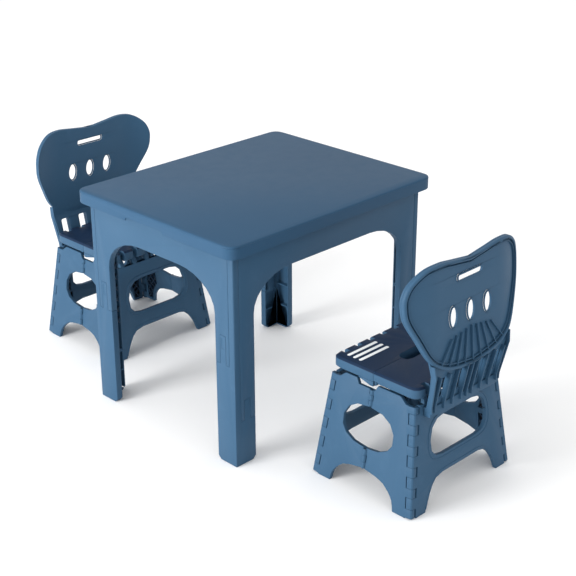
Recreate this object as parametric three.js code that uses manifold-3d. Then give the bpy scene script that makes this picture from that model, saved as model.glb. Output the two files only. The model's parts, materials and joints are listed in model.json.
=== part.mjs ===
// Folding table and two folding chairs for small children, all moulded plastic.
// Millimetres, +Z up, origin on the floor under the middle of the set, +X along the table's long side.
import * as THREE from "three";
import { mergeVertices } from "three/addons/utils/BufferGeometryUtils.js";
import Module from "manifold-3d";

const wasm = await Module();
wasm.setup();

// ---- table sizes ----
const table_length = 605;
const table_width = 491.5;
const table_height = 500;
const top_plate = 4;
const top_corner_radius = 20;
const top_edge_round = 4;
const rim_depth = 28;
const rim_wall = 3;
const rim_notch_depth = 7;
const rim_notch_from = 78;
const rim_notch_to = -42;
const grid_rib_depth = 8;
const grid_rib_width = 2.5;
const frame_inset_x = 21;
const frame_inset_y = 20;
const frame_depth = 15;
const frame_skin = 3.5;
const frame_wall = 3;
const leg_width = 55.5;
const apron_bottom = table_height - 91;
const arch_reach_x = 107;
const arch_reach_z = 76;
const short_leg_end = table_height * 0.456;
const long_leg_end = table_height * 0.204;
const layer_gap = 0.5;
const table_axle_radius = 2.5;
const table_lug_width = 12;
const table_lug_half = 4.5;
const long_lug_place = 130;
const short_lug_place = 95;
const hinge_inset = 5;
const leg_tongue_width = 16;
const short_tongue_rise = 64;
const long_tongue_rise = 46;
const leg_chamfer = 9;

const table_y = 8.5;

// ---- chair sizes ----
const near_chair_x = -22;
const far_chair_x = -12;
const chair_reach_y = 468.5;
const seat_height = 265;
const seat_width = 253;
const seat_depth = 220;
const seat_thick = 25;
const seat_corner_radius = 16;
const seat_edge_round = 4;
const seat_skin = 4.5;
const seat_wall = 3.5;
const seat_split_gap = 0.6;
const hand_hole_length = 84;
const hand_hole_width = 30;
const apex_height = 1156;
const corner_foot_x = 150;
const corner_foot_y = 123;
const panel_out = 9.5;
const side_out = 8;
const panel_top = 226;
const skin_thick = 3;
const edge_axis_drop = 20;
const middle_axis_drop = 26;
const edge_axis_inset = 3.2;
const pin_radius = 2;
const knuckle_radius = 5;
const seat_knuckle_radius = 6;
const lug_count = 6;
const lug_pitch = 38;
const lug_width = 12;
const finger_root = 9;
const finger_bounds = [1, 20, 43, 62, 85, 105, 128, 147, 170, 190, 212, 226];
const panel_opening_low = 103;
const panel_opening_high = 187;
const panel_opening_low_half = 92;
const panel_opening_high_half = 83;
const panel_arch_rise = 64;
const foot_width = 38;
const side_opening_half = 66;
const side_opening_low = 103;
const side_opening_high = 191;
const side_arch_rise = 56;
const fold_relief = 7.5;
const side_crest = 237.5;
const back_top = 516;
const back_dip = 505;
const back_low = 289;
const back_half = 171;
const back_wide_height = 446;
const neck_half = 106;
const back_skin = 4.5;
const back_lip = 12;
const back_curve = 24;
const back_flat = 87;
const back_lean = 0.092;
const neck_lean = 0.21;
const back_bend_height = 297;
const neck_clear = 10;
const neck_windows = [-82, -30, 30, 82];
const neck_window_width = 23;
const neck_window_rise = 48;
const handle_slot_length = 76;
const handle_slot_width = 15;
const handle_slot_low = 464;
const oval_place = 52;
const oval_height = 399;
const oval_half = [12.5, 22.5];
const back_tongue_places = [-84, -32, 32, 84];
const back_tongue_half = 9;
const neck_fins = [-104, -95.5, -68.5, -43.5, -16.5, 0, 16.5, 43.5, 68.5, 95.5, 104];
const fin_width = 3;
const fin_depth = 14;

// ---- clearances ----
const gap = 0.5;
const pin_clearance = 0.45;
const loose_clearance = 1.5;
const notch_clearance = 0.8;
const seat_notch_clearance = 1.8;
const merge_distance = 0.02;

const smooth_plastic = new THREE.MeshStandardMaterial({ color: 0x4f7290, roughness: 0.45 });
const dark_plastic = new THREE.MeshStandardMaterial({ color: 0x24395a, roughness: 0.5 });

// ---- solid helpers ----
function solidOf(geometry) {
  const source = geometry.index ? geometry.toNonIndexed() : geometry.clone();
  source.deleteAttribute("normal");
  source.deleteAttribute("uv");
  const merged = mergeVertices(source, 1e-4);
  return new wasm.Manifold(
    new wasm.Mesh({
      numProp: 3,
      vertProperties: merged.attributes.position.array,
      triVerts: new Uint32Array(merged.index.array),
    }),
  );
}

function geometryOf(solid) {
  const mesh = solid.getMesh();
  const count = mesh.numProp;
  const points = new Float32Array(mesh.numVert * 3);
  for (let i = 0; i < mesh.numVert; i++) {
    points.set(mesh.vertProperties.subarray(i * count, i * count + 3), i * 3);
  }
  const geometry = new THREE.BufferGeometry();
  geometry.setAttribute("position", new THREE.BufferAttribute(points, 3));
  geometry.setIndex(new THREE.BufferAttribute(new Uint32Array(mesh.triVerts), 1));
  return geometry;
}

// A geometry moved by a matrix, with its faces turned back when the matrix mirrors it.
function moved(geometry, matrix) {
  const result = geometry.index ? geometry.toNonIndexed() : geometry.clone();
  result.applyMatrix4(matrix);
  if (matrix.determinant() < 0) {
    const place = result.attributes.position;
    for (let i = 0; i < place.count; i += 3) {
      const a = [place.getX(i), place.getY(i), place.getZ(i)];
      place.setXYZ(i, place.getX(i + 1), place.getY(i + 1), place.getZ(i + 1));
      place.setXYZ(i + 1, a[0], a[1], a[2]);
    }
  }
  return result;
}

function box(x0, x1, y0, y1, z0, z1) {
  const geometry = new THREE.BoxGeometry(Math.abs(x1 - x0), Math.abs(y1 - y0), Math.abs(z1 - z0));
  geometry.translate((x0 + x1) / 2, (y0 + y1) / 2, (z0 + z1) / 2);
  return solidOf(geometry);
}

// A flat outline stood along three axes and given a depth along the third.
function prism(points, from, to, xAxis, yAxis, zAxis, origin) {
  const shape = new THREE.Shape(points.map((p) => new THREE.Vector2(p[0], p[1])));
  const geometry = new THREE.ExtrudeGeometry(shape, { depth: to - from, bevelEnabled: false, steps: 1 });
  geometry.translate(0, 0, from);
  const matrix = new THREE.Matrix4().makeBasis(xAxis, yAxis, zAxis);
  matrix.setPosition(origin ?? new THREE.Vector3());
  return solidOf(moved(geometry, matrix));
}

const axis_x = new THREE.Vector3(1, 0, 0);
const axis_y = new THREE.Vector3(0, 1, 0);
const axis_z = new THREE.Vector3(0, 0, 1);

const prismXZ = (points, y0, y1) => prism(points, y0, y1, axis_x, axis_z, axis_y);
const prismYZ = (points, x0, x1) => prism(points, x0, x1, axis_y, axis_z, axis_x);
const prismXY = (points, z0, z1) => prism(points, z0, z1, axis_x, axis_y, axis_z);

function union(first, ...rest) {
  return rest.reduce((sum, one) => sum.add(one), first);
}

function cut(first, ...rest) {
  return rest.reduce((left, one) => left.subtract(one), first);
}

// A rod from one point to another.
function rod(start, end, radius, sides) {
  const along = end.clone().sub(start);
  const geometry = new THREE.CylinderGeometry(radius, radius, along.length(), sides);
  const turn = new THREE.Quaternion().setFromUnitVectors(axis_y, along.clone().normalize());
  geometry.applyQuaternion(turn);
  const middle = start.clone().add(end).multiplyScalar(0.5);
  geometry.translate(middle.x, middle.y, middle.z);
  return solidOf(geometry);
}

// The radius of a bore whose flats clear a pin of the given radius.
function boreRadius(radius, clearance, sides) {
  return (radius + clearance) / Math.cos(Math.PI / sides);
}

// An outline with each corner turned into an arc of its own radius.
function rounded(points, radii, steps) {
  const out = [];
  points.forEach((point, i) => {
    const before = points[(i + points.length - 1) % points.length];
    const after = points[(i + 1) % points.length];
    const radius = Array.isArray(radii) ? radii[i] : radii;
    if (!radius) {
      out.push(point);
      return;
    }
    const corner = new THREE.Vector2(...point);
    const a = new THREE.Vector2(...before).sub(corner);
    const b = new THREE.Vector2(...after).sub(corner);
    const reach = Math.min(radius, a.length() / 2.02, b.length() / 2.02);
    const p = corner.clone().add(a.normalize().multiplyScalar(reach));
    const q = corner.clone().add(b.normalize().multiplyScalar(reach));
    for (let k = 0; k <= steps; k++) {
      const t = k / steps;
      const x = (1 - t) * (1 - t) * p.x + 2 * t * (1 - t) * corner.x + t * t * q.x;
      const y = (1 - t) * (1 - t) * p.y + 2 * t * (1 - t) * corner.y + t * t * q.y;
      out.push([x, y]);
    }
  });
  return out;
}

const group = new THREE.Group();
group.name = "kids_table_and_chairs";

// Adds one piece of the table, which stands a little off the middle of the set.
function addPiece(name, solid, material = smooth_plastic) {
  const mesh = new THREE.Mesh(geometryOf(solid.simplify(merge_distance)).translate(0, table_y, 0), material);
  mesh.name = name;
  group.add(mesh);
}

// ---- table ----
const half_x = table_length / 2 - frame_inset_x;
const half_y = table_width / 2 - frame_inset_y;
const rim_bottom = table_height - rim_depth;
const plate_bottom = table_height - top_plate;
const rib_bottom = plate_bottom - grid_rib_depth;
const fold_step = frame_depth + layer_gap;
const short_axis_z = rib_bottom - layer_gap - hinge_inset - 1;
const near_axis_z = short_axis_z - fold_step;
const far_axis_z = near_axis_z - fold_step;
const long_half = half_x - frame_depth - gap;
const short_half = half_y - frame_depth - gap;
const axis_depth = frame_depth - hinge_inset;

function tabletop() {
  const hx = table_length / 2;
  const hy = table_width / 2;
  const outline = rounded(
    [[-hx, -hy], [hx, -hy], [hx, hy], [-hx, hy]],
    top_corner_radius * 1.4,
    5,
  );
  const soft = rounded(
    [
      [-hx + top_edge_round, -hy + top_edge_round],
      [hx - top_edge_round, -hy + top_edge_round],
      [hx - top_edge_round, hy - top_edge_round],
      [-hx + top_edge_round, hy - top_edge_round],
    ],
    (top_corner_radius - top_edge_round) * 1.4,
    5,
  );
  const shape = new THREE.Shape(soft.map((p) => new THREE.Vector2(p[0], p[1])));
  const crown = new THREE.ExtrudeGeometry(shape, {
    depth: 1,
    bevelEnabled: true,
    bevelThickness: top_edge_round,
    bevelSize: top_edge_round,
    bevelSegments: 2,
  });
  crown.translate(0, 0, table_height - top_edge_round - 1);
  const trim = box(-hx - 1, hx + 1, -hy - 1, hy + 1, table_height - top_edge_round - 0.5, table_height + 1);
  let body = union(
    prismXY(outline, rim_bottom, table_height - top_edge_round - 0.4),
    solidOf(crown).intersect(trim),
  );
  const inner = rounded(
    [
      [-hx + rim_wall, -hy + rim_wall],
      [hx - rim_wall, -hy + rim_wall],
      [hx - rim_wall, hy - rim_wall],
      [-hx + rim_wall, hy - rim_wall],
    ],
    (top_corner_radius - rim_wall) * 1.4,
    4,
  );
  body = cut(body, prismXY(inner, rim_bottom - 1, plate_bottom));
  const reach_x = short_axis_x() - table_lug_half;
  const reach_y = half_y - axis_depth - table_lug_half;
  const rib_half = grid_rib_width / 2;
  const pieces = [];
  for (const part of [-0.5, 0, 0.5]) {
    const x = part * table_length * 0.42;
    pieces.push(box(x - rib_half, x + rib_half, -reach_y, reach_y, rib_bottom, plate_bottom + 1));
  }
  for (const part of [-0.5, 0, 0.5]) {
    const y = part * table_width * 0.42;
    pieces.push(box(-reach_x, reach_x, y - rib_half, y + rib_half, rib_bottom, plate_bottom + 1));
  }
  for (const side of [-1, 1]) {
    const y = side * (half_y - axis_depth);
    const z = side < 0 ? near_axis_z : far_axis_z;
    for (const x of [-long_lug_place, long_lug_place]) {
      pieces.push(tableLug(x, y, z, axis_x));
    }
    for (const place of [-short_lug_place, short_lug_place]) {
      pieces.push(tableLug(side * short_axis_x(), place, short_axis_z, axis_y));
    }
  }
  body = union(body, ...pieces);
  const bores = [];
  const reach = table_lug_width / 2 + 1;
  const hole = boreRadius(table_axle_radius, pin_clearance, 8);
  for (const side of [-1, 1]) {
    const y = side * (half_y - axis_depth);
    const z = side < 0 ? near_axis_z : far_axis_z;
    for (const x of [-long_lug_place, long_lug_place]) {
      bores.push(rod(new THREE.Vector3(x - reach, y, z), new THREE.Vector3(x + reach, y, z), hole, 8));
    }
    for (const place of [-short_lug_place, short_lug_place]) {
      const x = side * short_axis_x();
      bores.push(
        rod(
          new THREE.Vector3(x, place - reach, short_axis_z),
          new THREE.Vector3(x, place + reach, short_axis_z),
          hole,
          8,
        ),
      );
    }
  }
  body = cut(body, ...bores);
  const notch = prismYZ(
    [
      [rim_notch_from, rim_bottom - 1],
      [rim_notch_from - 4, rim_bottom + rim_notch_depth],
      [rim_notch_to + 4, rim_bottom + rim_notch_depth],
      [rim_notch_to, rim_bottom - 1],
    ],
    -hx - 1,
    -hx + rim_wall + 1,
  );
  return cut(body, notch);
}

function short_axis_x() {
  return half_x - axis_depth;
}

// A hanging ear that holds one axle, round at its lower end.
function tableLug(x, y, z, along) {
  const r = table_lug_half;
  const outline = [
    [-r, plate_bottom + 1 - z],
    [-r, -r * 0.4],
    [-r * 0.45, -r],
    [r * 0.45, -r],
    [r, -r * 0.4],
    [r, plate_bottom + 1 - z],
  ];
  const across = along === axis_x ? axis_y : axis_x;
  const half = table_lug_width / 2;
  return prism(outline, -half, half, across, axis_z, along, new THREE.Vector3(x, y, z));
}

// The arch under an apron as outline points, from the left leg's inner edge to the right one's.
function archPoints(inner, low, high, spread, steps) {
  const points = [];
  const reach = Math.max(arch_reach_x - spread, 5);
  const rise = Math.max(arch_reach_z - spread, 5);
  for (let i = 0; i <= steps; i++) {
    const t = (i / steps) * (Math.PI / 2);
    points.push([-inner + reach * (1 - Math.cos(t)), high - rise + rise * Math.sin(t)]);
  }
  for (let i = steps; i >= 0; i--) {
    const t = (i / steps) * (Math.PI / 2);
    points.push([inner - reach * (1 - Math.cos(t)), high - rise + rise * Math.sin(t)]);
  }
  return [[-inner, low], ...points, [inner, low]];
}

// One leg frame in its own upright plane: depth 0 is its outer face, depth grows inwards.
function legFrame(half, top, bottom, axisHeight, places, tongueCentre, tongueTop) {
  const leg_inner = half - (leg_width - frame_depth - gap);
  const arch = archPoints(leg_inner, bottom, apron_bottom, 0, 7);
  const outline = [[-half, top], [-half, bottom], ...arch, [half, bottom], [half, top]];
  let body = prismXZ(outline, 0, frame_depth);
  const wide_arch = archPoints(leg_inner + frame_wall, bottom + frame_wall, apron_bottom + frame_wall, 0, 7);
  const edge = half - frame_wall;
  const hollow_outline = [
    [-edge, top - frame_wall],
    [-edge, bottom + frame_wall],
    ...wide_arch,
    [edge, bottom + frame_wall],
    [edge, top - frame_wall],
  ];
  let hollow = prismXZ(hollow_outline, frame_skin, frame_depth + 1);
  const boss_half = table_lug_width / 2 + 9;
  const keep = [];
  for (const place of places) {
    keep.push(box(place - boss_half, place + boss_half, 0, frame_depth + 2, axisHeight - 11, top + 1));
  }
  const tongue_half = leg_tongue_width / 2 + gap;
  for (const side of [-1, 1]) {
    const x = side * tongueCentre;
    const wall = tongue_half + frame_wall;
    keep.push(box(x - wall, x + wall, 0, frame_depth + 2, bottom, tongueTop + gap + 3));
    const brace = apron_bottom - arch_reach_z;
    keep.push(box(side * leg_inner, side * half, 0, frame_depth + 2, brace - 1.5, brace + 1.5));
  }
  for (const place of [...places, 0]) {
    keep.push(box(place - 1.5, place + 1.5, 0, frame_depth + 2, apron_bottom, top));
  }
  hollow = cut(hollow, ...keep);
  body = cut(body, hollow);
  const slots = [];
  for (const side of [-1, 1]) {
    const x = side * tongueCentre;
    slots.push(box(x - tongue_half, x + tongue_half, -1, frame_depth + 1, bottom - 1, tongueTop + gap));
  }
  const lug_half = table_lug_width / 2 + gap;
  const clear = table_lug_half + notch_clearance;
  const notch_low = axisHeight - clear;
  for (const x of places) {
    slots.push(box(x - lug_half, x + lug_half, axis_depth - clear, frame_depth + 1, notch_low, top + 1));
  }
  body = cut(body, ...slots);
  const axles = places.map((place) =>
    rod(
      new THREE.Vector3(place - lug_half - 2, axis_depth, axisHeight),
      new THREE.Vector3(place + lug_half + 2, axis_depth, axisHeight),
      table_axle_radius,
      8,
    ),
  );
  return union(body, ...axles);
}

const leg_tongue_x = half_x - 33.5;
const leg_tongue_y = half_y - 33.5;

function placeFrame(solid, turn, x, y) {
  const matrix = new THREE.Matrix4().makeRotationZ(turn);
  matrix.setPosition(x, y, 0);
  return solidOf(moved(geometryOf(solid), matrix));
}

function tableFrames() {
  const short_frame = legFrame(
    short_half,
    plate_bottom - grid_rib_depth - 1,
    short_leg_end,
    short_axis_z,
    [-short_lug_place, short_lug_place],
    leg_tongue_y,
    short_leg_end + short_tongue_rise,
  );
  const near_frame = legFrame(
    long_half,
    near_axis_z + 17,
    long_leg_end,
    near_axis_z,
    [-long_lug_place, long_lug_place],
    leg_tongue_x,
    long_leg_end + long_tongue_rise,
  );
  const far_frame = legFrame(
    long_half,
    far_axis_z + 22,
    long_leg_end,
    far_axis_z,
    [-long_lug_place, long_lug_place],
    leg_tongue_x,
    long_leg_end + long_tongue_rise,
  );
  addPiece("long_frame_near", placeFrame(near_frame, 0, 0, -half_y));
  addPiece("long_frame_far", placeFrame(far_frame, Math.PI, 0, half_y));
  addPiece("short_frame_left", placeFrame(short_frame, -Math.PI / 2, -half_x, 0));
  addPiece("short_frame_right", placeFrame(short_frame, Math.PI / 2, half_x, 0));
}

// One leg extension for the corner at +x, +y; the others are its mirror images.
function legExtension() {
  const inner_x = half_x - leg_width;
  const inner_y = half_y - leg_width;
  const column_top = rim_bottom - 3;
  const low = gap;
  const flange_short = box(half_x - frame_depth, half_x, inner_y, half_y, 0, short_leg_end - low);
  const flange_long = box(inner_x, half_x, half_y - frame_depth, half_y, 0, long_leg_end - low);
  const column_outline = [
    [half_x - frame_depth, half_y - frame_depth],
    [half_x, half_y - frame_depth],
    [half_x, half_y - 4],
    [half_x - 1.2, half_y - 1.2],
    [half_x - 4, half_y],
    [half_x - frame_depth, half_y],
  ];
  const column = prismXY(column_outline, 0, column_top);
  const t = leg_tongue_width / 2;
  const tongue_short = box(
    half_x - frame_depth,
    half_x,
    leg_tongue_y - t,
    leg_tongue_y + t,
    short_leg_end - 5,
    short_leg_end + short_tongue_rise,
  );
  const tongue_long = box(
    leg_tongue_x - t,
    leg_tongue_x + t,
    half_y - frame_depth,
    half_y,
    long_leg_end - 5,
    long_leg_end + long_tongue_rise,
  );
  let body = union(flange_short, flange_long, column, tongue_short, tongue_long);
  const hollow_from = half_x - frame_depth - 1;
  const cells = [];
  const rows = 4;
  const rise = (short_leg_end - 5) / rows;
  for (let i = 0; i < rows; i++) {
    const z0 = 4 + i * rise;
    const z1 = z0 + rise - 3;
    cells.push(box(hollow_from, half_x - frame_skin, inner_y + 3, half_y - frame_depth - 1, z0, z1));
  }
  for (const [z0, z1] of [[4, long_leg_end / 2 - 1], [long_leg_end / 2 + 2, long_leg_end - 4]]) {
    cells.push(box(inner_x + 3, hollow_from, half_y - frame_depth - 1, half_y - frame_skin, z0, z1));
  }
  body = cut(body, ...cells);
  const c = leg_chamfer;
  const snip_y = prismYZ([[inner_y - 1, -1], [inner_y + c, -1], [inner_y - 1, c]], inner_x - 1, half_x + 1);
  const snip_x = prismXZ([[inner_x - 1, -1], [inner_x + c, -1], [inner_x - 1, c]], inner_y - 1, half_y + 1);
  const clip = [
    [leg_tongue_y - 5, short_leg_end + short_tongue_rise - 30],
    [leg_tongue_y + 5, short_leg_end + short_tongue_rise - 30],
    [leg_tongue_y + 5, short_leg_end + short_tongue_rise - 6],
    [leg_tongue_y - 5, short_leg_end + short_tongue_rise - 6],
  ];
  return cut(body, snip_y, snip_x, prismYZ(clip, half_x - 1, half_x + 1));
}

function mirrored(solid, sx, sy) {
  return solidOf(moved(geometryOf(solid), new THREE.Matrix4().makeScale(sx, sy, 1)));
}

addPiece("tabletop", tabletop());
tableFrames();
const extension = legExtension();
addPiece("leg_extension_near_left", mirrored(extension, -1, -1));
addPiece("leg_extension_near_right", mirrored(extension, 1, -1));
addPiece("leg_extension_far_left", mirrored(extension, -1, 1));
addPiece("leg_extension_far_right", mirrored(extension, 1, 1));

// ---- chair: it faces +Y, with its own origin on the floor under the middle of the seat ----
const apex = new THREE.Vector3(0, 0, apex_height);
const seat_under = seat_height - seat_thick;
const edge_axis_z = seat_height - edge_axis_drop;
const middle_axis_z = seat_height - middle_axis_drop;
const edge_axis_y = corner_foot_y * (1 - edge_axis_z / apex_height) - edge_axis_inset;
const hinge_edge = knuckle_radius + 1 + notch_clearance;
const pin_sides = 8;
const bore_sides = 4;

// A wall plane of the chair that passes through the apex. In its own frame x runs across the wall,
// y runs up to the apex and z points outwards.
function wallPlane(dx, dy) {
  const foot = new THREE.Vector3(dx * corner_foot_x, dy * corner_foot_y, 0);
  const up = apex.clone().sub(foot).normalize();
  const flat = new THREE.Vector3(dx, dy, 0);
  const across = axis_z.clone().cross(flat).normalize();
  const out = across.clone().cross(up).normalize();
  const matrix = new THREE.Matrix4().makeBasis(across, up, out).setPosition(foot);
  return { reach: apex.distanceTo(foot), lean: up.z, matrix, inverse: matrix.clone().invert() };
}

// A solid drawn on the chair, taken into a wall's own frame, and the way back.
function toWall(wall, solid) {
  return solidOf(moved(geometryOf(solid), wall.inverse));
}

function toChair(wall, solid) {
  return solidOf(moved(geometryOf(solid), wall.matrix));
}

// A straight line to the apex in a wall's own frame, with the point on it at a height over the floor.
function apexLine(wall, x, z) {
  const foot = new THREE.Vector3(x, 0, z);
  const along = new THREE.Vector3(0, wall.reach, 0).sub(foot).normalize();
  const at = (height) => foot.clone().add(along.clone().multiplyScalar(height / wall.lean / along.y));
  return { foot, along, at };
}

// A knuckle outline in the plane square to a hinge line, drawn out between two heights.
function knuckle(line, inward, outward, points, z0, z1) {
  const start = line.at(z0);
  const length = line.at(z1).distanceTo(start);
  return prism(points, 0, length, inward, outward, line.along, start);
}

function bore(line, z0, z1, radius, sides = bore_sides) {
  return rod(line.at(z0), line.at(z1), radius, sides);
}

const floorToTop = (wall) => toWall(wall, box(-400, 400, -400, 400, 0, panel_top));
const aboveFloor = (wall) => toWall(wall, box(-400, 400, -400, 400, 0, 400));

const finger_gap = gap / 2;
const panel_spans = [1, 3, 5, 7, 9].map((i) => [finger_bounds[i], finger_bounds[i + 1]]);
const side_spans = [0, 2, 4, 6, 8, 10].map((i) => [finger_bounds[i], finger_bounds[i + 1]]);
const middle_low_spans = [[59, 73], [73, 87], [87, 101]];
const middle_high_spans = [[193, 204], [204, 215], [215, 226]];

// The direction in a wall's plane, square to a hinge line, that points to the side given.
function inwardOf(line, towards) {
  const inward = axis_z.clone().cross(line.along).normalize();
  if (inward.x * towards < 0) inward.negate();
  return inward;
}

function trapezoidEdge(half, wall, inset) {
  const slope = half / wall.reach;
  return (v) => half - slope * v - inset * Math.sqrt(1 + slope * slope);
}

function endPanel(dy, withSocket) {
  const wall = wallPlane(0, dy);
  const edge = trapezoidEdge(corner_foot_x, wall, hinge_edge);
  const foot_in = edge(0) - foot_width + 6;
  const arch = rounded(
    [
      [-edge(-3), -3],
      [-foot_in - 4, -3],
      [-foot_in + 6, 28],
      [-foot_in + 32, panel_arch_rise],
      [foot_in - 32, panel_arch_rise],
      [foot_in - 6, 28],
      [foot_in + 4, -3],
      [edge(-3), -3],
      [edge(panel_top + 8), panel_top + 8],
      [-edge(panel_top + 8), panel_top + 8],
    ],
    [0, 0, 20, 30, 30, 20, 0, 0, 0, 0],
    2,
  );
  const opening = rounded(
    [
      [-panel_opening_low_half, panel_opening_low],
      [panel_opening_low_half, panel_opening_low],
      [panel_opening_high_half, panel_opening_high],
      [-panel_opening_high_half, panel_opening_high],
    ],
    40,
    3,
  );
  let body = prismXY(arch, 0.5, panel_out);
  body = cut(body, prismXY(opening, -1, panel_out + 1));
  const hollow = endHollows(edge, foot_in).map((cell) => prismXY(cell, -1, panel_out - skin_thick));
  body = cut(body, ...hollow);
  const pieces = [];
  const holes = [];
  const own = knuckle_radius;
  for (const sx of [-1, 1]) {
    const line = apexLine(wall, sx * corner_foot_x, 0);
    const inward = inwardOf(line, -sx);
    const outline = [
      [finger_root, 0.5],
      [finger_root, panel_out],
      [-side_out + 2.5, panel_out],
      [-side_out, panel_out - 2.5],
      [-side_out, -own * 0.9],
      [own * 0.72, -own * 0.9],
    ];
    for (const [z0, z1] of panel_spans) {
      pieces.push(knuckle(line, inward, axis_z, outline, z0 + finger_gap, z1 - finger_gap));
    }
    holes.push(bore(line, 5, panel_top, boreRadius(pin_radius, pin_clearance, bore_sides)));
  }
  for (let i = 0; i < lug_count; i++) {
    const x = (i - (lug_count - 1) / 2) * lug_pitch;
    pieces.push(toWall(wall, edgeLug(x, dy)));
  }
  body = union(body.intersect(floorToTop(wall)), ...pieces);
  const axle = new THREE.Vector3(-150, dy * edge_axis_y, edge_axis_z);
  const axle_end = new THREE.Vector3(150, dy * edge_axis_y, edge_axis_z);
  const pin_hole = boreRadius(pin_radius, pin_clearance, bore_sides);
  holes.push(toWall(wall, rod(axle, axle_end, pin_hole, bore_sides)));
  body = cut(body, ...holes);
  if (withSocket) {
    const slots = backTongues(gap).map((points) => prismXY(points, -2, panel_out + 1));
    body = cut(body, ...slots);
  }
  return toChair(wall, body.intersect(aboveFloor(wall)));
}

function endHollows(edge, foot_in) {
  const cells = [];
  const top = panel_top - 22;
  const low = panel_opening_low - 4;
  for (const s of [-1, 1]) {
    const inner = panel_opening_low_half + 4;
    cells.push([
      [s * (edge(top) - 8), top],
      [s * (edge(low) - 8), low],
      [s * (inner - 4), low],
      [s * inner, 125],
      [s * (panel_opening_high_half + 3), top - 12],
      [s * (panel_opening_high_half - 10), top],
    ]);
    cells.push([
      [s * (edge(low - 4) - 8), low - 4],
      [s * (edge(6) - 8), 6],
      [s * (foot_in + 6), 6],
      [s * (foot_in - 2), 38],
      [s * (foot_in - 24), panel_arch_rise + 8],
      [s * (foot_in - 24), low - 4],
    ]);
  }
  return cells;
}

// An ear on top of an end panel that reaches in to the seat's hinge line.
function edgeLug(x, dy) {
  const r = seat_knuckle_radius;
  const base = panel_top - 6;
  const inner = corner_foot_y * (1 - panel_top / apex_height) + 0.4;
  const outline = [
    [inner - edge_axis_y + 9, base - edge_axis_z],
    [inner - edge_axis_y + 7.5, -r * 2],
    [r * 0.88, 0],
    [r * 0.6, r * 0.75],
    [-r * 0.6, r * 0.75],
    [-r * 0.9, -r * 0.4],
    [inner - edge_axis_y, base - edge_axis_z],
  ];
  const origin = new THREE.Vector3(x, dy * edge_axis_y, edge_axis_z);
  const out = new THREE.Vector3(0, dy, 0);
  return prism(outline, -lug_width / 2, lug_width / 2, out, axis_z, axis_x, origin);
}

// The four tongues that plug the backrest into the rear panel, with a clearance all round.
function backTongues(extra) {
  const half = back_tongue_half + extra;
  const low = panel_top - 19 - extra;
  const high = panel_top - 11 + extra;
  return back_tongue_places.map((x) => [
    [x - half, low],
    [x + half, low],
    [x + half, high],
    [x - half, high],
  ]);
}

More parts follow.
